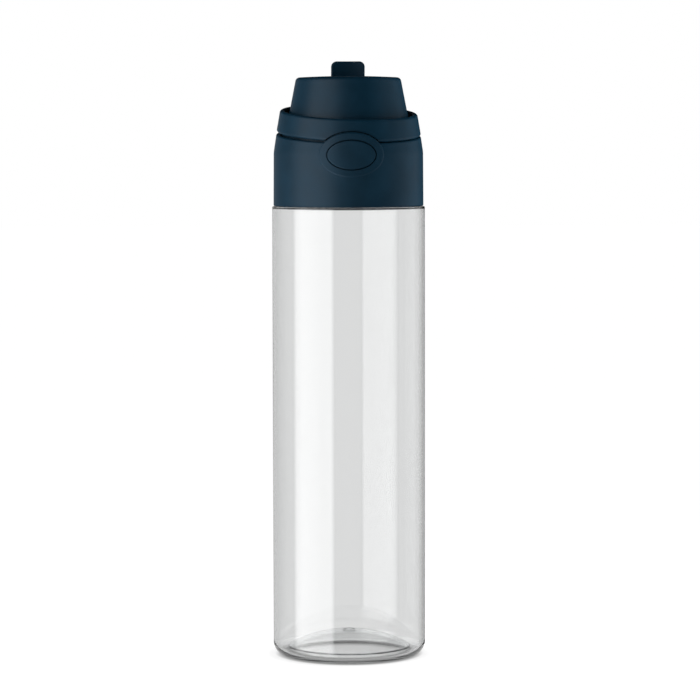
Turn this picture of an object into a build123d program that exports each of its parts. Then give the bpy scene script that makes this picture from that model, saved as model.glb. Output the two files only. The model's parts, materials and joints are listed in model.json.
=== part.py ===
from build123d import *
import os

os.makedirs("parts", exist_ok=True)

# A 700 ml drinking bottle with a flip-top lid, in millimetres. It stands on Z = 0 with its axis on Z.
# Its front, with the release button, faces -Y, and the hinge is at the back, +Y.

# ---- Bottle ----
body_radius = 35.0
body_wall = 1.0
shoulder_height = 206.6
shoulder_edge = 0.6
shoulder_thickness = 0.6
heel_radius = 5.5
heel_inner_radius = 4.2
floor_thickness = 1.6
# The push-up rises steeply from the standing ring to a step, then on as a shallow dome to its crown.
foot_radius, foot_inner_radius = 28.5, 29.2
punt_radius, punt_inner_radius = 27.4, 27.9
punt_step = 2.4
punt_rise = 9.4
gate_radius = 2.8
gate_height = 0.45
neck_radius = 28.4
neck_bore = 26.4
neck_top = 218.0

# ---- Screw thread between the neck and the lid ----
thread_pitch = 4.0
thread_turns = 1.25
thread_depth = 1.25
thread_root_half = 1.0
thread_crest_half = 0.55
thread_start = 211.2
thread_start_angle = 40
thread_gap = 0.4
thread_embed = 0.3

# ---- Threaded core and gasket ----
core_bottom = 207.6
core_radius = 31.9
core_bore = neck_radius + thread_depth + thread_gap
core_top = 221.4
gasket_thickness = 1.6
rib_width = 2.0
collar_bore = 32.5

# ---- Collar ----
collar_bottom = 206.8
collar_radius = 34.35
break_height = 231.3
break_radius = 34.2
rim_bore = 30.9
deck_top = 234.0
deck_thickness = 1.8
guard_inner, guard_outer = 29.0, 30.1
guard_rise = 2.2
guard_front_half, guard_back_half = 11.2, 13.8

# ---- Slanted seam between the collar and the flip cover, and the slanted lip above it ----
# The slopes are the rise per millimetre of Y, and the rolls are the rise per millimetre of X.
seam_height = 239.35
seam_slope = 0.11
seam_roll = -0.015
seam_half_gap = 0.28
ring_roll = -0.028
lip_height = 249.77
lip_slope = 0.115
lip_roll = -0.0285
rim_round = 0.7
ring_bottom_round = 1.2
lip_outer_round, lip_inner_round = 1.3, 0.65
collar_taper = (break_radius - 33.0) / (seam_height - break_height)

# ---- Button and its oval boss ----
button_height = 230.3
opening_x, opening_z = 11.35, 6.95
button_gap = 0.42
boss_margin = 3.3
boss_radius = 34.5
button_radius = 34.42
flange_margin = 0.85
flange_outer, flange_inner = 32.2, 30.6
button_travel = 2.0

# ---- Latch ----
latch_z0, latch_z1 = 225.8, 231.7
latch_half_width = 8.0
front_bar_y = (-29.5, -28.2)
rear_bar_y = (-22.0, -20.1)
tooth_tip_y = -22.5
tooth_bottom = 230.15
tongue_y = (-25.8, -24.0)
tongue_half_width = 5.0
tongue_bottom = 227.0
nose_tip_y = -22.8
nose_top = 230.0
spring_seat_y = (-14.2, -12.8)
rail_y = (-26.6, -16.0)

# ---- Spout ----
spout_radius = 10.6
spout_tip_radius = 9.8
spout_bore = 8.0
spout_top = 251.0
spout_flange = 12.4
spigot_radius = 10.5

# ---- Flip cover ----
ring_radius = 32.7
ring_radius_height = 241.9
ring_taper = 0.171
ring_wall = 2.1
ring_floor_rise = 3.8
ring_floor_thickness = 1.6
ring_hole = 26.0
cap_radius = 26.0
cap_radius_height = 254.4
cap_taper = 0.1935
cap_wall = 1.75
cap_edge_height = 265.3
cap_crown = 266.0
cap_edge_round = 2.0
cap_ceiling = 263.6

# ---- Hinge ----
hinge_y, hinge_z = 30.6, 242.5
knuckle_radius = 2.9
knuckle_clearance = 3.4
pin_radius = 1.2
pin_running_gap = 0.06
pin_half_length = 10.9
cover_knuckle = (3.5, 5.9)
collar_knuckle = (6.2, 8.4)
loop_ear = (8.7, 10.9)
notch_half_width = 13.5

# ---- Carry loop ----
loop_radius = 31.9
loop_radius_height = 246.0
loop_taper = 0.17
loop_thickness = 2.8
loop_half_width = 12.9
tab_half_width = 7.8
tab_offset = 0.9
tab_corner = 2.6
loop_top = 273.2
loop_clear = 28.7


def slanted(height, slope, roll):
    """The plane that crosses the axis at a height and rises by the slope along Y and the roll along X."""
    return Plane(origin=(0, 0, height), z_dir=(-roll, -slope, 1))


def above_seam(rise):
    """The plane parallel to the seam and that far above it."""
    return slanted(seam_height + rise, seam_slope, seam_roll)


def nearest(vertices, point):
    """The vertex of a flat outline that lies closest to a point."""
    return min(vertices, key=lambda v: abs(v.X - point[0]) + abs(v.Y - point[1]))


def turned(outline, rounded=()):
    """A solid turned about Z from its (radius, height) outline, with fillets at the given corners."""
    with BuildPart() as solid:
        with BuildSketch(Plane.XZ) as section:
            with BuildLine():
                Polyline(*outline, close=True)
            make_face()
            for point, radius in rounded:
                fillet(nearest(section.vertices(), point), radius)
        revolve(axis=Axis.Z)
    return solid.part


def side_plate(outline, x_start, x_end):
    """A plate between two X stations, from its (y, z) outline."""
    with BuildPart() as solid:
        with BuildSketch(Plane.YZ.offset(x_start)):
            with BuildLine():
                Polyline(*outline, close=True)
            make_face()
        extrude(amount=x_end - x_start)
    return solid.part


def block(x_range, y_range, z_range):
    """A square-edged block between its limits on each axis."""
    (x0, x1), (y0, y1), (z0, z1) = x_range, y_range, z_range
    outline = [(y0, z0), (y1, z0), (y1, z1), (y0, z1)]
    return side_plate(outline, x0, x1)


def front_oval(half_x, half_z, y_start, y_end):
    """An oval prism along Y on the button's axis."""
    with BuildPart() as solid:
        with BuildSketch(Plane(origin=(0, y_start, button_height), x_dir=(1, 0, 0), z_dir=(0, -1, 0))):
            Ellipse(half_x, half_z)
        extrude(amount=y_start - y_end)
    return solid.part


def cross_cylinder(radius, x_start, x_end):
    """A cylinder on the hinge axis, between two X stations."""
    with BuildPart() as solid:
        with BuildSketch(Plane(origin=(x_start, hinge_y, hinge_z), x_dir=(0, 1, 0), z_dir=(1, 0, 0))):
            Circle(radius)
        extrude(amount=x_end - x_start)
    return solid.part


def mirrored_pair(span):
    """The (start, end) X stations of a pair of hinge parts, left and right."""
    return [span, (-span[1], -span[0])]


def screw_ridge(root_radius, direction, start_height):
    """A helical ridge that stands out (direction 1) or in (direction -1) from its root radius."""
    path = Helix(
        pitch=thread_pitch,
        height=thread_pitch * thread_turns,
        radius=root_radius,
        center=(0, 0, start_height),
    )
    root, crest = -direction * thread_embed, direction * thread_depth
    with BuildPart() as ridge:
        with BuildSketch(Plane(origin=path @ 0, x_dir=(1, 0, 0), z_dir=path % 0)):
            with BuildLine():
                Polyline(
                    (root, -thread_root_half),
                    (crest, -thread_crest_half),
                    (crest, thread_crest_half),
                    (root, thread_root_half),
                    close=True,
                )
            make_face()
        sweep(path=path, is_frenet=True)
    return ridge.part.rotate(Axis.Z, thread_start_angle)


def cap_outside(height):
    """The flip cap's outer radius at a height."""
    return cap_radius - (height - cap_radius_height) * cap_taper


def ring_outside(height):
    """The cover ring's outer radius at a height."""
    return ring_radius - (height - ring_radius_height) * ring_taper


def collar_outside(height):
    """The collar's outer radius above its break."""
    return break_radius - (height - break_height) * collar_taper


# ======== Bottle body: one clear blown shell, with a domed push-up in its base ========
inner_radius = body_radius - body_wall
crown_height = floor_thickness + punt_rise
step_height = floor_thickness + punt_step
neck_thread = screw_ridge(neck_radius, 1, thread_start)

with BuildPart() as bottle_body:
    with BuildSketch(Plane.XZ) as section:
        with BuildLine():
            outer_dome = TangentArc((0, punt_rise), (punt_radius, punt_step), tangent=(1, 0))
            inner_dome = TangentArc((0, crown_height), (punt_inner_radius, step_height), tangent=(1, 0))
            Polyline(
                outer_dome @ 1,
                (foot_radius, 0),
                (body_radius, 0),
                (body_radius, shoulder_height),
                (neck_radius, shoulder_height),
                (neck_radius, neck_top),
                (neck_bore, neck_top),
                (neck_bore, shoulder_height - shoulder_thickness),
                (inner_radius, shoulder_height - shoulder_thickness),
                (inner_radius, floor_thickness),
                (foot_inner_radius, floor_thickness),
                inner_dome @ 1,
            )
            Line(inner_dome @ 0, outer_dome @ 0)
        make_face()
        corners = [
            ((body_radius, 0), heel_radius),
            ((punt_radius, punt_step), 1.2),
            ((foot_radius, 0), 0.5),
            ((body_radius, shoulder_height), shoulder_edge),
            ((neck_radius, shoulder_height), 0.8),
            ((neck_radius, neck_top), 0.5),
            ((neck_bore, neck_top), 0.5),
            ((neck_bore, shoulder_height - shoulder_thickness), 0.4),
            ((inner_radius, shoulder_height - shoulder_thickness), 0.5),
            ((inner_radius, floor_thickness), heel_inner_radius),
            ((foot_inner_radius, floor_thickness), 0.8),
            ((punt_inner_radius, step_height), 1.5),
        ]
        for corner, radius in corners:
            fillet(nearest(section.vertices(), corner), radius)
        # The mark of the moulding gate, a low disc on the crown of the dome.
        with BuildLine():
            Polyline(
                (0, crown_height - 0.5),
                (gate_radius, crown_height - 0.5),
                (gate_radius - 0.5, crown_height + gate_height),
                (0, crown_height + gate_height),
                close=True,
            )
        make_face()
    revolve(axis=Axis.Z)
    add(neck_thread)
bottle_body.part.label = "bottle_body"
export_step(bottle_body.part, "parts/bottle_body.step")

# ======== Neck gasket: a flat silicone ring on the neck's rim ========
with BuildPart() as neck_gasket:
    with BuildSketch(Plane.XY.offset(neck_top)):
        Circle(neck_radius + 0.6)
        Circle(neck_bore - 0.4, mode=Mode.SUBTRACT)
    extrude(amount=gasket_thickness)
    fillet(neck_gasket.edges().filter_by(GeomType.CIRCLE), 0.25)
neck_gasket.part.label = "neck_gasket"
export_step(neck_gasket.part, "parts/neck_gasket.step")

# ======== Threaded core: the inner cap that screws on the neck ========
plate_bottom = neck_top + gasket_thickness
core_thread = screw_ridge(core_bore, -1, thread_start - thread_pitch / 2)
vent_y = 17.0
vent_hole = 1.3

with BuildPart() as threaded_core:
    with BuildSketch(Plane.XZ) as section:
        with BuildLine():
            Polyline(
                (spout_radius, plate_bottom),
                (core_bore, plate_bottom),
                (core_bore, core_bottom),
                (core_radius, core_bottom),
                (core_radius, core_top),
                (spout_radius, core_top),
                close=True,
            )
        make_face()
        fillet(nearest(section.vertices(), (core_radius, core_bottom)), 0.4)
        fillet(nearest(section.vertices(), (core_radius, core_top)), 0.6)
    revolve(axis=Axis.Z)
    # Two snap ribs that hold the collar.
    for rib_height in (211.0, 217.0):
        with BuildSketch(Plane.XY.offset(rib_height)):
            Circle(collar_bore)
            Circle(core_radius - 0.5, mode=Mode.SUBTRACT)
        extrude(amount=rib_width)
    add(core_thread)
    # The seat that the button's spring pushes on, and the two rails that guide the latch.
    add(block((-3.6, 3.6), spring_seat_y, (core_top - 0.5, 231.4)))
    for x0, x1 in mirrored_pair((latch_half_width + 0.3, latch_half_width + 1.7)):
        add(block((x0, x1), rail_y, (core_top - 0.5, 230.0)))
    with Locations((0, vent_y, core_top)):
        Hole(vent_hole)
threaded_core.part.label = "threaded_core"
export_step(threaded_core.part, "parts/threaded_core.step")

# ======== Vent valve: a silicone umbrella that lets air in behind the water ========
valve = [
    (0, plate_bottom - 1.5),
    (3.0, plate_bottom - 1.1),
    (4.2, plate_bottom),
    (vent_hole, plate_bottom),
    (vent_hole, core_top),
    (2.0, core_top),
    (1.0, core_top + 1.8),
    (0, core_top + 1.8),
]
with BuildPart() as vent_valve:
    with BuildSketch(Plane(origin=(0, vent_y, 0), x_dir=(1, 0, 0), z_dir=(0, -1, 0))):
        with BuildLine():
            Polyline(*valve, close=True)
        make_face()
    revolve(axis=Axis((0, vent_y, 0), (0, 0, 1)))
vent_valve.part.label = "vent_valve"
export_step(vent_valve.part, "parts/vent_valve.step")

# ======== Drinking spout, and the O-ring that seals it in the core ========
groove_radius = 9.4
groove = (plate_bottom + 0.35, plate_bottom + 1.45)
with BuildPart() as drink_spout:
    with BuildSketch(Plane.XZ) as section:
        with BuildLine():
            Polyline(
                (spout_bore, plate_bottom - 0.8),
                (spigot_radius, plate_bottom - 0.8),
                (spigot_radius, groove[0]),
                (groove_radius, groove[0]),
                (groove_radius, groove[1]),
                (spigot_radius, groove[1]),
                (spigot_radius, core_top),
                (spout_flange, core_top),
                (spout_flange, core_top + 1.4),
                (spout_radius, core_top + 1.4),
                (spout_tip_radius, spout_top),
                (spout_bore, spout_top),
                close=True,
            )
        make_face()
        fillet(nearest(section.vertices(), (spout_tip_radius, spout_top)), 0.9)
        fillet(nearest(section.vertices(), (spout_bore, spout_top)), 0.5)
        fillet(nearest(section.vertices(), (spout_radius, core_top + 1.4)), 0.8)
    revolve(axis=Axis.Z)
drink_spout.part.label = "drink_spout"
export_step(drink_spout.part, "parts/drink_spout.step")

with BuildPart() as spout_o_ring:
    with BuildSketch(Plane.XZ) as section:
        with Locations(((groove_radius + spout_radius) / 2, (groove[0] + groove[1]) / 2)):
            RectangleRounded(spout_radius - groove_radius, groove[1] - groove[0], 0.35)
    revolve(axis=Axis.Z)
spout_o_ring.part.label = "spout_o_ring"
export_step(spout_o_ring.part, "parts/spout_o_ring.step")

# ======== Collar: the lid's outer shell, with its deck, oval boss and hinge knuckles ========
boss_x, boss_z = opening_x + boss_margin, opening_z + boss_margin
boss_skin = turned([(collar_bore, 210), (boss_radius, 210), (boss_radius, 250), (collar_bore, 250)])
with BuildPart() as boss:
    add(front_oval(boss_x, boss_z, -25, -40))
    add(boss_skin, mode=Mode.INTERSECT)
    fillet(boss.faces().sort_by(Axis.Y)[0].edges(), 0.9)
button_opening = front_oval(opening_x, opening_z, -25, -40)
flange_room_margin = flange_margin + 0.35
with BuildPart() as flange_room:
    add(front_oval(opening_x + flange_room_margin, opening_z + flange_room_margin, -25.6, -40))
    add(turned([(0, 210), (collar_bore, 210), (collar_bore, 250), (0, 250)]), mode=Mode.INTERSECT)
collar_top = 246.0
collar_limit = turned([(0, 200), (body_radius, 200), (body_radius, 260), (0, 260)])
# A low guard on the deck stands inside the seam, on both sides, so that nothing shows or falls through.
with BuildPart() as seam_guard:
    add(turned([
        (guard_inner, deck_top - 0.5),
        (guard_outer, deck_top - 0.5),
        (guard_outer, collar_top + 4),
        (guard_inner, collar_top + 4),
    ]))
    split(bisect_by=above_seam(guard_rise), keep=Keep.BOTTOM)
    add(block((-guard_front_half, guard_front_half), (-40, 0), (deck_top - 1, 260)), mode=Mode.SUBTRACT)
    add(block((-guard_back_half, guard_back_half), (0, 40), (deck_top - 1, 260)), mode=Mode.SUBTRACT)
static_knuckle = [(30.0, 231), (33.5, 231), (33.5, hinge_z), (28.7, hinge_z), (28.7, 238), (30.0, 236)]

with BuildPart() as lid_collar:
    with BuildSketch(Plane.XZ) as section:
        with BuildLine():
            Polyline(
                (collar_bore, collar_bottom),
                (collar_radius, collar_bottom),
                (break_radius, break_height),
                (collar_outside(collar_top), collar_top),
                (rim_bore, collar_top),
                (rim_bore, deck_top),
                (spout_radius + 0.8, deck_top),
                (spout_radius + 0.8, deck_top - deck_thickness),
                (collar_bore, deck_top - deck_thickness),
                close=True,
            )
        make_face()
        fillet(nearest(section.vertices(), (collar_radius, collar_bottom)), 0.5)
        fillet(nearest(section.vertices(), (break_radius, break_height)), 14)
        fillet(nearest(section.vertices(), (rim_bore, deck_top)), 1.0)
    revolve(axis=Axis.Z)
    split(bisect_by=above_seam(-seam_half_gap), keep=Keep.BOTTOM)
    rim = lid_collar.faces().filter_by(GeomType.PLANE).sort_by(Axis.Z)[-1]
    fillet(rim.edges(), rim_round)
    add(boss.part)
    add(seam_guard.part)
    add(button_opening, mode=Mode.SUBTRACT)
    # Room behind the button for its flange, and the slot that the cover's tongue drops through.
    add(flange_room.part, mode=Mode.SUBTRACT)
    add(block((-5.6, 5.6), (-26, -21.6), (deck_top - 3, 240)), mode=Mode.SUBTRACT)
    # The back is cleared round the hinge, then the two fixed knuckles are added.
    add(cross_cylinder(knuckle_clearance, -loop_ear[1] - 0.3, loop_ear[1] + 0.3), mode=Mode.SUBTRACT)
    for x0, x1 in mirrored_pair((loop_ear[0] - 0.3, loop_ear[1] + 0.3)):
        add(cross_cylinder(knuckle_clearance + 0.6, x0, x1), mode=Mode.SUBTRACT)
    for x0, x1 in mirrored_pair(collar_knuckle):
        add(side_plate(static_knuckle, x0, x1))
        add(cross_cylinder(knuckle_radius, x0, x1))
    add(collar_limit, mode=Mode.INTERSECT)
    add(cross_cylinder(pin_radius, -12, 12), mode=Mode.SUBTRACT)
lid_collar.part.label = "lid_collar"
export_step(lid_collar.part, "parts/lid_collar.step")

# ======== Release button: an oval cap with a flange behind the opening ========
button_skin = turned([(flange_inner, 215), (button_radius, 215), (button_radius, 245), (flange_inner, 245)])
flange_skin = turned([(flange_inner, 215), (flange_outer, 215), (flange_outer, 245), (flange_inner, 245)])
button_x, button_z = opening_x - button_gap, opening_z - button_gap
with BuildPart() as button_flange:
    add(front_oval(opening_x + flange_margin, opening_z + flange_margin, -20, -40))
    add(flange_skin, mode=Mode.INTERSECT)
with BuildPart() as release_button:
    add(front_oval(button_x, button_z, -20, -40))
    add(button_skin, mode=Mode.INTERSECT)
    fillet(release_button.faces().sort_by(Axis.Y)[0].edges(), 0.5)
    add(button_flange.part)
    # A flat pad at the back, where the latch is pressed on.
    add(block((-7, 7), (-30.8, front_bar_y[0]), (226.2, 231.2)))
release_button.part.label = "release_button"
export_step(release_button.part, "parts/release_button.step")

# ======== Latch slide: a frame round the cover's tongue, with the tooth on its rear bar ========
with BuildPart() as latch_slide:
    add(block((-latch_half_width, latch_half_width), (front_bar_y[0], rear_bar_y[1]), (latch_z0, latch_z1)))
    add(block((-5.8, 5.8), (front_bar_y[1], rear_bar_y[0]), (220, 240)), mode=Mode.SUBTRACT)
    add(block((-4.6, 4.6), (tooth_tip_y, rear_bar_y[0]), (tooth_bottom, latch_z1)))
    outer_corners = [e for e in latch_slide.edges().filter_by(Axis.Z) if abs(e.center().X) > 7.9]
    fillet(outer_corners, 0.5)
latch_slide.part.label = "latch_slide"
export_step(latch_slide.part, "parts/latch_slide.step")

# ======== Button spring: a coil between the latch and its seat on the core ========
button_wire = 0.32
button_coil_radius = 2.2
button_coil_z = 228.7
button_coil = Helix(
    pitch=(spring_seat_y[0] - rear_bar_y[1] - 2 * button_wire) / 4,
    height=spring_seat_y[0] - rear_bar_y[1] - 2 * button_wire,
    radius=button_coil_radius,
    center=(0, rear_bar_y[1] + button_wire, button_coil_z),
    direction=(0, 1, 0),
)
with BuildPart() as button_spring:
    with BuildSketch(Plane(origin=button_coil @ 0, z_dir=button_coil % 0)):
        Circle(button_wire)
    sweep(path=button_coil, is_frenet=True)
button_spring.part.label = "button_spring"
export_step(button_spring.part, "parts/button_spring.step")

# ======== Hinge pin and its torsion spring ========
with BuildPart() as hinge_pin:
    with BuildSketch(Plane(origin=(-pin_half_length, hinge_y, hinge_z), x_dir=(0, 1, 0), z_dir=(1, 0, 0))):
        Circle(pin_radius)
    extrude(amount=2 * pin_half_length)
    chamfer(hinge_pin.edges().filter_by(GeomType.CIRCLE), 0.25)
hinge_pin.part.label = "hinge_pin"
export_step(hinge_pin.part, "parts/hinge_pin.step")

hinge_wire = 0.35
hinge_coil_radius = 1.85
hinge_coil_turns = 5.375
hinge_coil_pitch = 0.85
hinge_coil = Helix(
    pitch=hinge_coil_pitch,
    height=hinge_coil_pitch * hinge_coil_turns,
    radius=hinge_coil_radius,
    center=(-hinge_coil_pitch * hinge_coil_turns / 2, hinge_y, hinge_z),
    direction=(1, 0, 0),
).rotate(Axis((0, hinge_y, hinge_z), (1, 0, 0)), -135)
cover_leg = 5.6
deck_leg = 8.4
with BuildPart() as hinge_spring:
    with BuildSketch(Plane(origin=hinge_coil @ 0, z_dir=hinge_coil % 0)):
        Circle(hinge_wire)
    sweep(path=hinge_coil, is_frenet=True)
    # One leg runs forward under the cover's floor, the other down to the collar's deck.
    with BuildSketch(Plane(origin=hinge_coil @ 1, z_dir=hinge_coil % 1)):
        Circle(hinge_wire)
    extrude(amount=cover_leg)
    with BuildSketch(Plane(origin=hinge_coil @ 0, z_dir=-(hinge_coil % 0))):
        Circle(hinge_wire)
    extrude(amount=deck_leg)
hinge_spring.part.label = "hinge_spring"
export_step(hinge_spring.part, "parts/hinge_spring.step")

# ======== Cover ring: the hinged rim of the flip cover, with its tongue and knuckles ========
ring_base, ring_head = 230.0, 260.0


def ring_cone(inset):
    """A solid cone with the ring's draft, set in from its outer face."""
    return turned([
        (0, ring_base),
        (ring_outside(ring_base) - inset, ring_base),
        (ring_outside(ring_head) - inset, ring_head),
        (0, ring_head),
    ])


with BuildPart() as ring_trough:
    add(ring_cone(ring_wall))
    split(bisect_by=above_seam(ring_floor_rise + ring_floor_thickness), keep=Keep.TOP)
with BuildPart() as ring_underside:
    add(ring_cone(ring_wall))
    split(bisect_by=above_seam(ring_floor_rise), keep=Keep.BOTTOM)
with BuildPart() as arch:
    add(front_oval(boss_x + 0.5, boss_z + 0.5, -20, -45))
    add(turned([(0, 210), (31.2, 210), (31.2, 260), (0, 260)]), mode=Mode.SUBTRACT)
with BuildPart() as back_notch:
    add(block((-notch_half_width, notch_half_width), (15, 45), (238, 262)))
    add(turned([(0, 230), (loop_clear, 230), (loop_clear, 270), (0, 270)]), mode=Mode.SUBTRACT)
ring_bore_cut = turned([(0, ring_base), (ring_hole, ring_base), (ring_hole, ring_head), (0, ring_head)])
cover_arm = [
    (hinge_y - 1, hinge_z - 2.4),
    (hinge_y - 0.2, hinge_z + 2.9),
    (28.6, 247.2),
    (26.2, 247.2),
    (26.2, 246.0),
]
tongue_roof = 240.5
tongue_nose = [
    (tongue_y[1], tongue_bottom),
    (nose_tip_y, nose_top - 1.6),
    (nose_tip_y, nose_top),
    (tongue_y[1], nose_top),
]

with BuildPart() as cover_ring:
    add(ring_cone(0))
    split(bisect_by=slanted(seam_height + seam_half_gap, seam_slope, ring_roll), keep=Keep.TOP)
    split(bisect_by=slanted(lip_height, lip_slope, lip_roll), keep=Keep.BOTTOM)
    fillet(cover_ring.faces().filter_by(GeomType.PLANE).sort_by(Axis.Z)[0].edges(), ring_bottom_round)
    add(ring_trough.part, mode=Mode.SUBTRACT)
    lip = cover_ring.faces().filter_by(GeomType.PLANE).sort_by(Axis.Z)[-1]
    fillet(lip.edges().sort_by(SortBy.LENGTH)[-1], lip_outer_round)
    lip = cover_ring.faces().filter_by(GeomType.PLANE).sort_by(Axis.Z)[-1]
    fillet(lip.edges().sort_by(SortBy.LENGTH)[0], lip_inner_round)
    add(ring_underside.part, mode=Mode.SUBTRACT)
    add(ring_bore_cut, mode=Mode.SUBTRACT)
    add(arch.part, mode=Mode.SUBTRACT)
    add(back_notch.part, mode=Mode.SUBTRACT)
    # The tongue at the front: a flat strip with an inward nose that the latch's tooth holds down.
    tongue_x = (-tongue_half_width, tongue_half_width)
    add(block(tongue_x, tongue_y, (tongue_bottom, tongue_roof)))
    add(block(tongue_x, (-28.4, tongue_y[1]), (tongue_roof - 0.2, tongue_roof + 1.0)))
    add(side_plate(tongue_nose, *tongue_x))
    for x0, x1 in mirrored_pair(cover_knuckle):
        add(cross_cylinder(knuckle_radius, x0, x1))
        add(side_plate(cover_arm, x0, x1))
    add(cross_cylinder(pin_radius + pin_running_gap, -8, 8), mode=Mode.SUBTRACT)
cover_ring.part.label = "cover_ring"
export_step(cover_ring.part, "parts/cover_ring.step")

# ======== Cover cap: the drafted cone with a faintly domed top, snapped into the ring ========
cap_base = 238.0
cap_inner_top = cap_outside(cap_ceiling) - cap_wall
with BuildPart() as cap_skirt_limit:
    add(turned([
        (0, cap_base),
        (ring_hole - 0.05, cap_base),
        (ring_hole - 0.05, 262),
        (0, 262),
    ]))
    split(bisect_by=above_seam(ring_floor_rise - 0.8), keep=Keep.TOP)
    split(bisect_by=above_seam(ring_floor_rise + ring_floor_thickness), keep=Keep.BOTTOM)
with BuildPart() as cover_cap:
    with BuildSketch(Plane.XZ) as section:
        with BuildLine():
            crown = ThreePointArc(
                (-cap_outside(cap_edge_height), cap_edge_height),
                (0, cap_crown),
                (cap_outside(cap_edge_height), cap_edge_height),
            )
            Polyline(
                crown @ 1,
                (cap_outside(cap_base), cap_base),
                (-cap_outside(cap_base), cap_base),
                crown @ 0,
            )
        make_face()
        split(bisect_by=Plane.YZ, keep=Keep.TOP)
        fillet(nearest(section.vertices(), (cap_outside(cap_edge_height), cap_edge_height)), cap_edge_round)
    revolve(axis=Axis.Z)
    split(bisect_by=above_seam(ring_floor_rise + ring_floor_thickness), keep=Keep.TOP)
    add(cap_skirt_limit.part)
    add(
        turned(
            [
                (0, cap_base),
                (ring_hole - 1.35, cap_base),
                (ring_hole - 1.35, 249),
                (cap_inner_top, cap_ceiling),
                (0, cap_ceiling),
            ],
            [((cap_inner_top, cap_ceiling), 1.0)],
        ),
        mode=Mode.SUBTRACT,
    )
    # The skirt is notched for the root of the ring's tongue.
    add(block((-5.8, 5.8), (-26.3, -22), (cap_base, 242.4)), mode=Mode.SUBTRACT)
cover_cap.part.label = "cover_cap"
export_step(cover_cap.part, "parts/cover_cap.step")

# ======== Cover liner: the plate under the cap's ceiling, with the tube that holds the plug ========
liner_thickness = 1.4
holder_radius, holder_bore = 7.2, 5.4
holder_bottom = 254.2
plug_head_top = holder_bottom - 0.2
liner_radius = 21.6
with BuildPart() as cover_liner:
    with BuildSketch(Plane.XZ) as section:
        with BuildLine():
            Polyline(
                (0, cap_ceiling),
                (liner_radius, cap_ceiling),
                (liner_radius, cap_ceiling - liner_thickness),
                (holder_radius, cap_ceiling - liner_thickness),
                (holder_radius, holder_bottom),
                (holder_bore, holder_bottom),
                (holder_bore, cap_ceiling - liner_thickness),
                (0, cap_ceiling - liner_thickness),
                close=True,
            )
        make_face()
        fillet(nearest(section.vertices(), (holder_radius, cap_ceiling - liner_thickness)), 1.2)
        fillet(nearest(section.vertices(), (liner_radius, cap_ceiling - liner_thickness)), 0.5)
    revolve(axis=Axis.Z)
    # Eight stiffening webs between the tube and the plate.
    with BuildSketch(Plane.XZ.offset(-0.5)):
        with BuildLine():
            Polyline(
                (holder_radius - 0.3, cap_ceiling - 1),
                (liner_radius - 3, cap_ceiling - 1),
                (liner_radius - 3, cap_ceiling - 2.4),
                (holder_radius - 0.3, holder_bottom + 2.5),
                close=True,
            )
        make_face()
    web = extrude(amount=1.0)
    for step in range(1, 8):
        add(web.rotate(Axis.Z, 45 * step))
cover_liner.part.label = "cover_liner"
export_step(cover_liner.part, "parts/cover_liner.step")

# ======== Spout plug: the silicone stopper that seals the spout ========
plug_rest = spout_top + 0.1
with BuildPart() as spout_plug:
    with BuildSketch(Plane.XZ) as section:
        with BuildLine():
            Polyline(
                (0, spout_top - 2.8),
                (6.3, spout_top - 2.8),
                (7.5, plug_rest),
                (10.2, plug_rest),
                (10.2, holder_bottom),
                (holder_bore, holder_bottom),
                (holder_bore, holder_bottom + 5.5),
                (0, holder_bottom + 5.5),
                close=True,
            )
        make_face()
        fillet(nearest(section.vertices(), (6.3, spout_top - 2.8)), 1.0)
        fillet(nearest(section.vertices(), (10.2, plug_rest)), 0.6)
        fillet(nearest(section.vertices(), (10.2, holder_bottom)), 1.2)
        fillet(nearest(section.vertices(), (holder_bore, holder_bottom + 5.5)), 0.6)
    revolve(axis=Axis.Z)
spout_plug.part.label = "spout_plug"
export_step(spout_plug.part, "parts/spout_plug.step")

# ======== Carry loop: a curved bail with a thumb tab, on the same pin as the cover ========


def loop_outside(height):
    """The loop's outer radius at a height."""
    return loop_radius - (height - loop_radius_height) * loop_taper


loop_foot = 245.6
finger_gap_half, finger_gap_top = 9.4, 260.8
loop_shoulder = 265.9
loop_outline = [
    (loop_ear[1], loop_foot),
    (loop_half_width, loop_foot + 5),
    (loop_half_width, loop_shoulder - 6.5),
    (loop_half_width - 3.2, loop_shoulder),
    (tab_offset + tab_half_width, loop_shoulder),
    (tab_offset + tab_half_width, loop_top),
    (tab_offset - tab_half_width, loop_top),
    (tab_offset - tab_half_width, loop_shoulder),
    (3.2 - loop_half_width, loop_shoulder),
    (-loop_half_width, loop_shoulder - 6.5),
    (-loop_half_width, loop_foot + 5),
    (-loop_ear[1], loop_foot),
    (-loop_ear[0], loop_foot),
    (-finger_gap_half, loop_foot + 4.5),
    (-finger_gap_half, finger_gap_top),
    (finger_gap_half, finger_gap_top),
    (finger_gap_half, loop_foot + 4.5),
    (loop_ear[0], loop_foot),
]
loop_shell = turned([
    (loop_outside(loop_foot) - loop_thickness, loop_foot),
    (loop_outside(loop_foot), loop_foot),
    (loop_outside(280), 280),
    (loop_outside(280) - loop_thickness, 280),
])
ear_arm = [(27.7, 242.5), (31.5, 245.26), (30.4, 247.5), (30.4, 251.0), (27.8, 251.0)]

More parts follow.
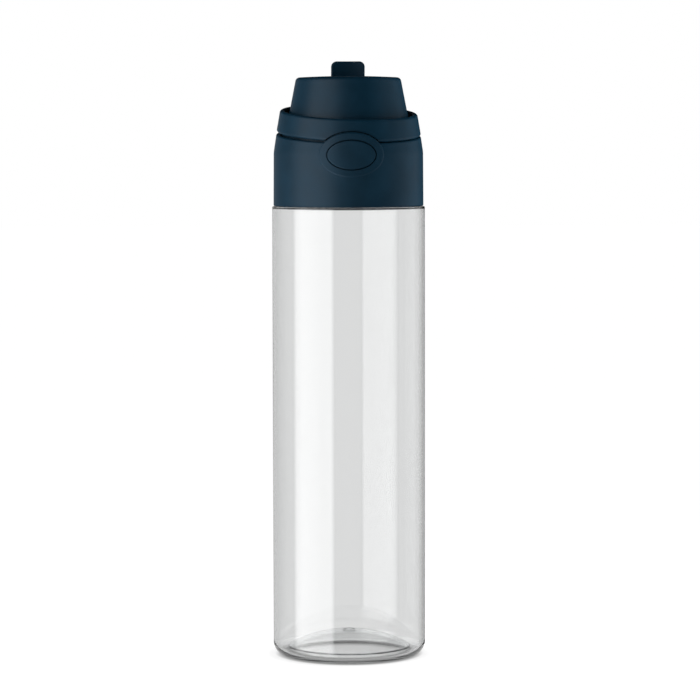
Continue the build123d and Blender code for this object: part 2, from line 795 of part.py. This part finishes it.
with BuildPart() as carry_loop:
    with BuildSketch(Plane.XZ) as outline:
        with BuildLine():
            Polyline(*loop_outline, close=True)
        make_face()
        for sign in (-1, 1):
            fillet(nearest(outline.vertices(), (tab_offset + sign * tab_half_width, loop_top)), tab_corner)
            fillet(nearest(outline.vertices(), (sign * loop_half_width, loop_foot + 5)), 3)
            fillet(nearest(outline.vertices(), (sign * loop_half_width, loop_shoulder - 6.5)), 4)
            fillet(nearest(outline.vertices(), (sign * (loop_half_width - 3.2), loop_shoulder)), 1.4)
            fillet(nearest(outline.vertices(), (sign * finger_gap_half, finger_gap_top)), 5)
            fillet(nearest(outline.vertices(), (sign * finger_gap_half, loop_foot + 4.5)), 4)
    extrude(amount=-45)
    add(loop_shell, mode=Mode.INTERSECT)
    fillet(carry_loop.edges(), 0.6)
    for x0, x1 in mirrored_pair(loop_ear):
        add(cross_cylinder(knuckle_radius, x0, x1))
        add(side_plate(ear_arm, x0, x1))
    add(cross_cylinder(pin_radius + pin_running_gap, -12, 12), mode=Mode.SUBTRACT)
carry_loop.part.label = "carry_loop"
export_step(carry_loop.part, "parts/carry_loop.step")
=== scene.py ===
import json
import math

import bmesh
import bpy
from mathutils import Matrix, Vector


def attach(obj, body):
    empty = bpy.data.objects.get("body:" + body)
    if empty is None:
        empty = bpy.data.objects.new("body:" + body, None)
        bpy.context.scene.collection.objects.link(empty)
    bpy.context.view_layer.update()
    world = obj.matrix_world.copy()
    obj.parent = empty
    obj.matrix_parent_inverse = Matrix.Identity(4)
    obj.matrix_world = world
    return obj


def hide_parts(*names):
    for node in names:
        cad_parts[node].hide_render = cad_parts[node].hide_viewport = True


# Looks for the flip-top drinking bottle, in the CAD's frame: +Z is up and -Y is the front.
# Lengths are in metres, except the clear body's, which are in mm.

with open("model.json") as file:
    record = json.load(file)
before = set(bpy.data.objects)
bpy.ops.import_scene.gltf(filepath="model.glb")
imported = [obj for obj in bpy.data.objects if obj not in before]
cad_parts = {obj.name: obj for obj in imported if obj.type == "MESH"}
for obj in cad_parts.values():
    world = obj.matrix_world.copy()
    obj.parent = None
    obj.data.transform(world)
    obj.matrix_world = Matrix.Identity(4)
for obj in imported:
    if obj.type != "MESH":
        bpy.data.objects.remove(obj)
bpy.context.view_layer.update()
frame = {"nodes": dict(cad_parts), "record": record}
nodes = frame["nodes"]

MM = 0.001
FRONT_TURN = math.radians(-2.4)
WHITE = (1.0, 1.0, 1.0, 1.0)
# How bright the studio is where the clear wall shows it: a little under white.
SEEN_THROUGH = 0.87
# Nearly all of a noise texture's values lie between these two.
NOISE_LOW, NOISE_HIGH = 0.3, 0.7


# ---------------------------------------------------------------- camera
def make_camera():
    """A long lens level with the lid, a little left of the front and looking slightly down."""
    distance, height = 1.418, 0.2441
    pitch, yaw, roll = math.radians(4.18), math.radians(0.023), math.radians(-0.106)
    data = bpy.data.cameras.new("camera")
    data.sensor_width = 36.0
    data.lens = 158.96
    data.clip_start, data.clip_end = 0.05, 50.0
    data.dof.use_dof = False
    camera = bpy.data.objects.new("camera", data)
    bpy.context.scene.collection.objects.link(camera)
    camera.location = (math.sin(FRONT_TURN) * distance, -math.cos(FRONT_TURN) * distance, height)
    turn = Matrix.Rotation(FRONT_TURN - yaw, 4, "Z")
    tilt = Matrix.Rotation(math.radians(90) - pitch, 4, "X")
    lean = Matrix.Rotation(roll, 4, "Z")
    camera.rotation_mode = "QUATERNION"
    camera.rotation_quaternion = (turn @ tilt @ lean).to_quaternion()
    bpy.context.scene.camera = camera


# ---------------------------------------------------------------- node helpers
class Shader:
    """A node tree being built."""

    def __init__(self, tree):
        self.tree = tree
        tree.nodes.clear()

    def node(self, kind, inputs=None, **settings):
        """A new node with its settings, and its inputs linked or set by name."""
        made = self.tree.nodes.new(kind)
        for name, value in settings.items():
            setattr(made, name, value)
        for name, value in (inputs or {}).items():
            socket = made.inputs[name]
            if isinstance(value, bpy.types.NodeSocket):
                self.tree.links.new(value, socket)
            else:
                socket.default_value = value
        return made

    def ramp(self, factor, stops, interpolation="LINEAR"):
        """A colour ramp from (position, grey or colour) stops."""
        made = self.node("ShaderNodeValToRGB", {"Fac": factor})
        ramp = made.color_ramp
        ramp.interpolation = interpolation
        while len(ramp.elements) < len(stops):
            ramp.elements.new(1.0)
        for element, (position, value) in zip(ramp.elements, stops):
            element.position = position
            rgb = value if isinstance(value, tuple) else (value,) * 3
            element.color = (*rgb, 1.0)
        return made.outputs["Color"]

    def product(self, a, b):
        """Two colours multiplied."""
        made = self.node(
            "ShaderNodeMix",
            {"Factor": 1.0, "A": a, "B": b},
            data_type="RGBA",
            blend_type="MULTIPLY",
        )
        return made.outputs["Result"]

    def choice(self, factor, otherwise, chosen):
        """The second colour where the factor is 1, and the first where it is 0."""
        inputs = {"Factor": factor, "A": otherwise, "B": chosen}
        return self.node("ShaderNodeMix", inputs, data_type="RGBA").outputs["Result"]

    def between(self, value, start, end, low, high, **settings):
        """A value carried from the range start-end to the range low-high, and kept inside it."""
        inputs = {
            "Value": value,
            "From Min": start,
            "From Max": end,
            "To Min": low,
            "To Max": high,
        }
        return self.node("ShaderNodeMapRange", inputs, **settings).outputs["Result"]


def new_material(name):
    """A material and its emptied node tree."""
    material = bpy.data.materials.new(name)
    material.use_nodes = True
    return material, Shader(material.node_tree)


def moulded(name, colour, roughness, specular=0.5):
    """Moulded plastic or silicone: a fine surface grain, and faint mottling in colour and gloss."""
    grain, mottle, gloss_change = 0.35, 0.12, 0.025
    material, s = new_material(name)
    place = s.node("ShaderNodeTexCoord").outputs["Object"]
    fine = s.node("ShaderNodeTexNoise", {"Vector": place, "Scale": 3800.0, "Detail": 3.0})
    broad = s.node("ShaderNodeTexNoise", {"Vector": place, "Scale": 90.0, "Detail": 4.0})
    tones = s.ramp(
        broad.outputs["Fac"],
        [
            (NOISE_LOW, tuple(c * (1 - mottle) for c in colour)),
            (NOISE_HIGH, tuple(c * (1 + mottle) for c in colour)),
        ],
    )
    dullest, glossiest = roughness + gloss_change, roughness - gloss_change
    gloss = s.between(broad.outputs["Fac"], NOISE_LOW, NOISE_HIGH, glossiest, dullest)
    bump = s.node(
        "ShaderNodeBump",
        {"Height": fine.outputs["Fac"], "Strength": grain, "Distance": 0.02 * MM},
    )
    shader = s.node(
        "ShaderNodeBsdfPrincipled",
        {
            "Base Color": tones,
            "Roughness": gloss,
            "Specular IOR Level": specular,
            "Normal": bump.outputs["Normal"],
        },
    )
    s.node("ShaderNodeOutputMaterial", {"Surface": shader.outputs["BSDF"]})
    return material


def clear_plastic(name):
    """Clear copolyester: a faint grey tint, and the slow waviness of a blown wall."""
    material, s = new_material(name)
    place = s.node("ShaderNodeTexCoord").outputs["Object"]
    stretch = s.node("ShaderNodeMapping", {"Vector": place, "Scale": (1.0, 1.0, 0.12)})
    wave = s.node(
        "ShaderNodeTexNoise",
        {"Vector": stretch.outputs["Vector"], "Scale": 60.0, "Detail": 1.0},
    )
    bump = s.node(
        "ShaderNodeBump",
        {"Height": wave.outputs["Fac"], "Strength": 0.25, "Distance": 0.05 * MM},
    )
    haze = s.ramp(wave.outputs["Fac"], [(0.35, 0.0), (0.75, 0.02)])
    shader = s.node(
        "ShaderNodeBsdfPrincipled",
        {
            "Base Color": (0.972, 0.972, 0.971, 1.0),
            "Roughness": haze,
            "IOR": 1.575,
            "Transmission Weight": 1.0,
            "Normal": bump.outputs["Normal"],
        },
    )
    # The plastic's own grey gathers where light runs a long way in it: at the edges, heel and dome.
    depth = s.node(
        "ShaderNodeVolumeAbsorption",
        {"Color": (0.46, 0.50, 0.51, 1.0), "Density": 90.0},
    )
    s.node(
        "ShaderNodeOutputMaterial",
        {"Surface": shader.outputs["BSDF"], "Volume": depth.outputs["Volume"]},
    )
    return material


def bright_wire(name):
    """Drawn stainless wire: a fine, even grain in its gloss and tone."""
    material, s = new_material(name)
    place = s.node("ShaderNodeTexCoord").outputs["Object"]
    fine = s.node("ShaderNodeTexNoise", {"Vector": place, "Scale": 2500.0, "Detail": 4.0})
    gloss = s.ramp(fine.outputs["Fac"], [(NOISE_LOW, 0.18), (NOISE_HIGH, 0.34)])
    tones = s.ramp(
        fine.outputs["Fac"],
        [(NOISE_LOW, (0.56, 0.56, 0.58)), (NOISE_HIGH, (0.68, 0.68, 0.69))],
    )
    shader = s.node(
        "ShaderNodeBsdfPrincipled",
        {"Base Color": tones, "Metallic": 1.0, "Roughness": gloss},
    )
    s.node("ShaderNodeOutputMaterial", {"Surface": shader.outputs["BSDF"]})
    return material


NAVY = (0.0032, 0.0250, 0.0470)
materials = {
    "lid_plastic": moulded("navy_satin_plastic", NAVY, 0.42, specular=0.18),
    "latch_plastic": moulded("grey_acetal", (0.42, 0.43, 0.44), 0.38),
    "silicone": moulded("grey_silicone", (0.40, 0.42, 0.43), 0.55),
    "spring_steel": bright_wire("stainless_wire"),
    "clear_body": clear_plastic("clear_copolyester"),
}


def dress_nodes():
    """Every CAD node takes the material of its slot in the record."""
    for entry in frame["record"]["subparts"]:
        node = nodes[entry["node"]]
        node.data.materials.clear()
        node.data.materials.append(materials[entry["material_slot"]])


# ---------------------------------------------------------------- clear body
BODY_R, WALL = 35.0, 1.0
SHOULDER, SHOULDER_THICKNESS = 206.6, 0.6
HEEL_R, HEEL_INNER_R = 5.5, 4.2
FLOOR = 1.6
FOOT_R, FOOT_INNER_R = 28.5, 29.2
PUNT_R, PUNT_INNER_R = 27.4, 27.9
PUNT_STEP, PUNT_RISE = 2.4, 9.4
GATE_R, GATE_RISE, GATE_DRAFT = 2.8, 0.45, 0.5
# How far the dome has dropped at the gate mark's edge.
GATE_SINK = 0.07
NECK_R, NECK_BORE, NECK_TOP = 28.4, 26.4, 218.0
THREAD_PITCH, THREAD_TURNS, THREAD_DEPTH = 4.0, 1.25, 1.25
THREAD_START, THREAD_START_ANGLE = 211.2, 40.0
THREAD_ROOT_HALF, THREAD_CREST_HALF = 1.0, 0.55
# The thread fades in and out over this many degrees.
THREAD_RUN_OUT = 12.0
# The mesh: its longest step along the outline, its steps round the axis, and what counts as equal.
LONGEST_STEP, SEGMENTS, TOLERANCE = 0.9, 240, 0.01


def rounded(points, radii, steps=10):
    """A flat outline of (r, z) points, with an arc of a given radius at each corner (0: none)."""
    line = [points[0]]
    for before, corner, after, radius in zip(points, points[1:], points[2:], radii):
        a, c, b = Vector(before), Vector(corner), Vector(after)
        if radius == 0:
            line.append(corner)
            continue
        u, v = (a - c).normalized(), (b - c).normalized()
        half = u.angle(v) / 2
        reach = radius / math.tan(half)
        centre = c + (u + v).normalized() * radius / math.sin(half)
        start, end = c + u * reach - centre, c + v * reach - centre
        sweep = start.angle_signed(end)
        for i in range(steps + 1):
            turn = -sweep * i / steps
            offset = Matrix.Rotation(turn, 2) @ start
            line.append(tuple(centre + offset))
    line.append(points[-1])
    return line


def dome(foot_radius, lift, steps=28):
    """Points of the push-up's dome from its crown on the axis out to its foot, as one arc."""
    sag = PUNT_RISE - PUNT_STEP
    radius = (foot_radius**2 + sag**2) / (2 * sag)
    reach = math.asin(foot_radius / radius)
    centre = lift + PUNT_RISE - radius
    angles = [reach * i / steps for i in range(steps + 1)]
    return [(radius * math.sin(a), centre + radius * math.cos(a)) for a in angles]


def divided(line, longest):
    """The outline with its long runs cut to pieces no longer than this."""
    out = [line[0]]
    for (r, z), (r_end, z_end) in zip(line, line[1:]):
        parts = max(1, math.ceil(math.dist((r, z), (r_end, z_end)) / longest))
        for i in range(1, parts + 1):
            out.append((r + (r_end - r) * i / parts, z + (z_end - z) * i / parts))
    return out


def thread_height(angle, height):
    """How far the neck's screw thread stands out at an angle (degrees) and a height (mm)."""
    turned = angle - THREAD_START_ANGLE
    rise = 0.0
    for lap in range(-1, 3):
        along = (turned + 360 * lap) / 360
        if not 0 <= along <= THREAD_TURNS:
            continue
        off = abs(height - THREAD_START - along * THREAD_PITCH)
        slope = (THREAD_ROOT_HALF - off) / (THREAD_ROOT_HALF - THREAD_CREST_HALF)
        ends = min(along, THREAD_TURNS - along) * 360 / THREAD_RUN_OUT
        rise = max(rise, THREAD_DEPTH * min(1.0, max(0.0, slope)) * min(1.0, ends))
    return rise


def turned_mesh(name, line, segments, displace):
    """A closed mesh turned about Z from an outline in mm that starts and ends on the axis.

    displace(row, angle in degrees, height) says how far a point stands out from the outline.
    """
    verts, faces, rings = [], [], []
    for i, (r, z) in enumerate(line):
        if r < TOLERANCE:
            verts.append((0.0, 0.0, z * MM))
            rings.append([len(verts) - 1])
            continue
        ring = []
        for k in range(segments):
            angle = 2 * math.pi * k / segments
            out = r + displace(i, math.degrees(angle), z)
            verts.append((out * math.cos(angle) * MM, out * math.sin(angle) * MM, z * MM))
            ring.append(len(verts) - 1)
        rings.append(ring)
    for a, b in zip(rings, rings[1:]):
        for k in range(segments):
            n = (k + 1) % segments
            if len(a) == 1:
                faces.append((a[0], b[k], b[n]))
            elif len(b) == 1:
                faces.append((a[k], b[0], a[n]))
            else:
                faces.append((a[k], b[k], b[n], a[n]))
    mesh = bpy.data.meshes.new(name)
    mesh.from_pydata(verts, [], faces)
    shape = bmesh.new()
    shape.from_mesh(mesh)
    bmesh.ops.recalc_face_normals(shape, faces=shape.faces)
    shape.to_mesh(mesh)
    shape.free()
    mesh.shade_smooth()
    piece = bpy.data.objects.new(name, mesh)
    bpy.context.scene.collection.objects.link(piece)
    return piece


def make_bottle():
    """The clear shell, as one closed surface: dome, heel, wall, shoulder and threaded neck."""
    outside = dome(PUNT_R, 0.0)
    inside = dome(PUNT_INNER_R, FLOOR)
    # Each corner between the two domes, and the radius of its arc.
    corners = [
        ((FOOT_R, 0.0), 0.5),
        ((BODY_R, 0.0), HEEL_R),
        ((BODY_R, SHOULDER), 0.6),
        ((NECK_R, SHOULDER), 0.8),
        ((NECK_R, NECK_TOP), 0.5),
        ((NECK_BORE, NECK_TOP), 0.5),
        ((NECK_BORE, SHOULDER - SHOULDER_THICKNESS), 0.4),
        ((BODY_R - WALL, SHOULDER - SHOULDER_THICKNESS), 0.5),
        ((BODY_R - WALL, FLOOR), HEEL_INNER_R),
        ((FOOT_INNER_R, FLOOR), 0.8),
    ]
    outline = outside + [point for point, radius in corners] + list(reversed(inside))
    smooth = [0.0] * (len(outside) - 2)
    step_rounding, step_inner_rounding = 1.2, 1.5
    corner_radii = [radius for point, radius in corners]
    radii = smooth + [step_rounding] + corner_radii + [step_inner_rounding] + smooth
    # The gate mark takes the place of the inner dome's crown.
    crown = FLOOR + PUNT_RISE
    gate_top = crown + GATE_RISE
    gate = [(GATE_R, crown - GATE_SINK), (GATE_R - GATE_DRAFT, gate_top), (0.0, gate_top)]
    between_domes = PUNT_RISE + FLOOR / 2
    line = [(r, z) for r, z in rounded(outline, radii) if r > GATE_R or z < between_domes]
    line = divided(line + gate, LONGEST_STEP)
    neck_rows = {
        i
        for i, (r, z) in enumerate(line)
        if abs(r - NECK_R) < TOLERANCE and SHOULDER < z < NECK_TOP
    }

    def thread(i, angle, height):
        return thread_height(angle, height) if i in neck_rows else 0.0

    shell = turned_mesh("bottle_shell", line, SEGMENTS, thread)
    shell.data.materials.append(materials["clear_body"])
    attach(shell, "bottle")
    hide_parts("bottle_body")


# ---------------------------------------------------------------- stage and light
def make_world():
    """The studio all round: white to the camera, and a little dimmer through the clear wall.

    In reflections, and as light on the pieces, it is dim, and brightest at the right. Both ramps
    run round from -X through -Y, the front, +X and +Y, the back, to -X again.
    """
    reflected = [
        (0.00, 0.30),
        (0.10, 0.10),
        (0.34, 0.04),
        (0.44, 0.10),
        (0.50, 0.32),
        (0.56, 0.70),
        (0.60, 0.60),
        (0.64, 0.02),
        (0.71, 0.01),
        (0.745, 0.30),
        (0.78, 0.40),
        (0.86, 0.20),
        (0.94, 0.35),
        (1.00, 0.30),
    ]
    seen_through = [
        (0.00, 0.72),
        (0.25, 0.78),
        (0.50, 0.70),
        (0.62, 0.45),
        (0.70, SEEN_THROUGH),
        (0.80, SEEN_THROUGH),
        (0.87, 0.72),
        (1.00, 0.72),
    ]
    world = bpy.data.worlds.new("studio")
    bpy.context.scene.world = world
    world.use_nodes = True
    s = Shader(world.node_tree)
    direction = s.node("ShaderNodeTexCoord").outputs["Generated"]
    around = s.node(
        "ShaderNodeTexGradient", {"Vector": direction}, gradient_type="RADIAL"
    ).outputs["Fac"]
    up = s.node("ShaderNodeSeparateXYZ", {"Vector": direction}).outputs["Z"]
    # Reflections darken overhead, and what the clear wall shows darkens underfoot.
    overhead = s.between(up, 0.05, 0.32, 1.0, 0.04, interpolation_type="SMOOTHSTEP")
    underfoot = s.between(up, -0.9, -0.2, 0.35, 1.0)
    path = s.node("ShaderNodeLightPath").outputs
    indirect = s.choice(
        path["Is Transmission Ray"],
        s.product(s.ramp(around, reflected), overhead),
        s.product(s.ramp(around, seen_through), underfoot),
    )
    colour = s.choice(path["Is Camera Ray"], indirect, WHITE)
    background = s.node("ShaderNodeBackground", {"Color": colour})
    s.node("ShaderNodeOutputWorld", {"Surface": background.outputs["Background"]})


def flat_piece(name, corners):
    """One flat face that belongs to the stage, not to the bottle."""
    mesh = bpy.data.meshes.new(name)
    mesh.from_pydata(corners, [], [tuple(range(len(corners)))])
    piece = bpy.data.objects.new(name, mesh)
    bpy.context.scene.collection.objects.link(piece)
    return piece


def make_floor():
    """A plain white floor, with a painted contact shadow: a narrow dark ring painted under the
    bottle's heel.

    The large floor is hidden from reflections and from what the clear wall shows. The small disc
    on it is not.
    """
    painted_shadow_reach, half, near, below = 0.1, 6.0, 0.045, -0.0002
    material, s = new_material("pale_floor_painted_shadow")
    place = s.node("ShaderNodeTexCoord").outputs["Object"]
    from_axis = s.node("ShaderNodeVectorMath", {0: place}, operation="LENGTH").outputs["Value"]
    # Painted contact shadow: the floor's glow is painted darkest in a ring under the heel, and a
    # little dark under the dome inside it.
    tones = s.ramp(
        s.between(from_axis, 0.0, painted_shadow_reach, 0.0, 1.0),
        [(0.0, 0.82), (0.20, 0.74), (0.30, 0.24), (0.352, 0.88), (0.40, 1.0)],
        "EASE",
    )
    is_direct = s.node("ShaderNodeLightPath").outputs["Is Camera Ray"]
    strength = s.between(is_direct, 0.0, 1.0, SEEN_THROUGH, 1.0)
    diffuse = s.node("ShaderNodeBsdfDiffuse", {"Color": (0.18, 0.18, 0.18, 1.0)})
    glow = s.node("ShaderNodeEmission", {"Color": tones, "Strength": strength})
    both = s.node("ShaderNodeAddShader", {0: diffuse.outputs["BSDF"], 1: glow.outputs["Emission"]})
    s.node("ShaderNodeOutputMaterial", {"Surface": both.outputs["Shader"]})
    square = [(-half, -half), (half, -half), (half, half), (-half, half)]
    far = flat_piece("floor", [(x, y, below * 2) for x, y in square])
    far.visible_glossy = False
    far.visible_transmission = False
    steps = 64
    turns = [2 * math.pi * i / steps for i in range(steps)]
    rim = [(near * math.cos(turn), near * math.sin(turn), below) for turn in turns]
    disc = flat_piece("floor_near", rim)
    for piece in (far, disc):
        piece.data.materials.append(material)


def upright_panel(name, ends, low, high):
    """A light panel between two points in plan, with no shadow and not seen by the camera."""
    (ax, ay), (bx, by) = ends
    panel = flat_piece(name, [(ax, ay, low), (bx, by, low), (bx, by, high), (ax, ay, high)])
    panel.visible_camera = False
    panel.visible_shadow = False
    material, s = new_material(name)
    panel.data.materials.append(material)
    return panel, s


# The side panels: the ends of each in plan, and the height of their top edge.
LEFT_ENDS = [(-0.137, -0.327), (-0.345, -0.014)]
RIGHT_ENDS = [(0.345, -0.120), (0.310, 0.200)]
PANEL_TOP = 0.65


def make_softbox():
    """A tall soft-edged panel at the left front, for the reflections, brighter in its far half."""
    radiance, seen_straight = 3.15, 0.85
    spread = 0.06
    turn = Matrix.Rotation(FRONT_TURN, 2)
    a, b = (turn @ Vector(end) for end in LEFT_ENDS)
    reach = (b - a) * spread
    panel, s = upright_panel("left_softbox", (a - reach, b + reach), -1.2, PANEL_TOP)
    panel.visible_diffuse = False
    uv = panel.data.uv_layers.new(name="across")
    for loop, corner in zip(uv.data, [(0, 0), (1, 0), (1, 1), (0, 1)]):
        loop.uv = corner
    place = s.node("ShaderNodeTexCoord").outputs["UV"]
    across = s.node("ShaderNodeSeparateXYZ", {"Vector": place}).outputs
    tones = s.ramp(
        across["X"],
        [
            (0.0, 0.0),
            (0.11, 0.88),
            (0.30, 0.88),
            (0.72, 1.0),
            (0.86, 0.75),
            (0.93, 0.35),
            (1.0, 0.0),
        ],
    )
    fade = s.ramp(across["Y"], [(0.0, 1.0), (0.80, 1.0), (1.0, 0.0)])
    # Seen straight through the clear wall, the panel is no brighter than the rest of the studio.
    path = s.node("ShaderNodeLightPath").outputs
    straight = s.node(
        "ShaderNodeMath",
        {0: path["Is Transmission Ray"], 1: path["Glossy Depth"]},
        operation="SUBTRACT",
        use_clamp=True,
    ).outputs["Value"]
    strength = s.between(straight, 0.0, 1.0, radiance, seen_straight)
    glow = s.node("ShaderNodeEmission", {"Color": s.product(tones, fade), "Strength": strength})
    s.node("ShaderNodeOutputMaterial", {"Surface": glow.outputs["Emission"]})


def make_fills():
    """Soft light from both sides for the plastics' own colour, not seen in any reflection."""
    for name, ends, radiance in (
        ("left_fill", LEFT_ENDS, 1.25),
        ("right_fill", RIGHT_ENDS, 2.7),
    ):
        panel, s = upright_panel(name, ends, -0.3, PANEL_TOP)
        panel.visible_glossy = False
        panel.visible_transmission = False
        glow = s.node("ShaderNodeEmission", {"Strength": radiance})
        s.node("ShaderNodeOutputMaterial", {"Surface": glow.outputs["Emission"]})


def set_look():
    """Plain colour handling, and enough bounces for light to pass through the clear walls."""
    scene = bpy.context.scene
    scene.view_settings.view_transform = "Standard"
    scene.view_settings.look = "None"
    scene.cycles.max_bounces = 24
    scene.cycles.transmission_bounces = 24
    scene.cycles.glossy_bounces = 12


make_camera()
dress_nodes()
make_bottle()
make_world()
make_floor()
make_softbox()
make_fills()
set_look()
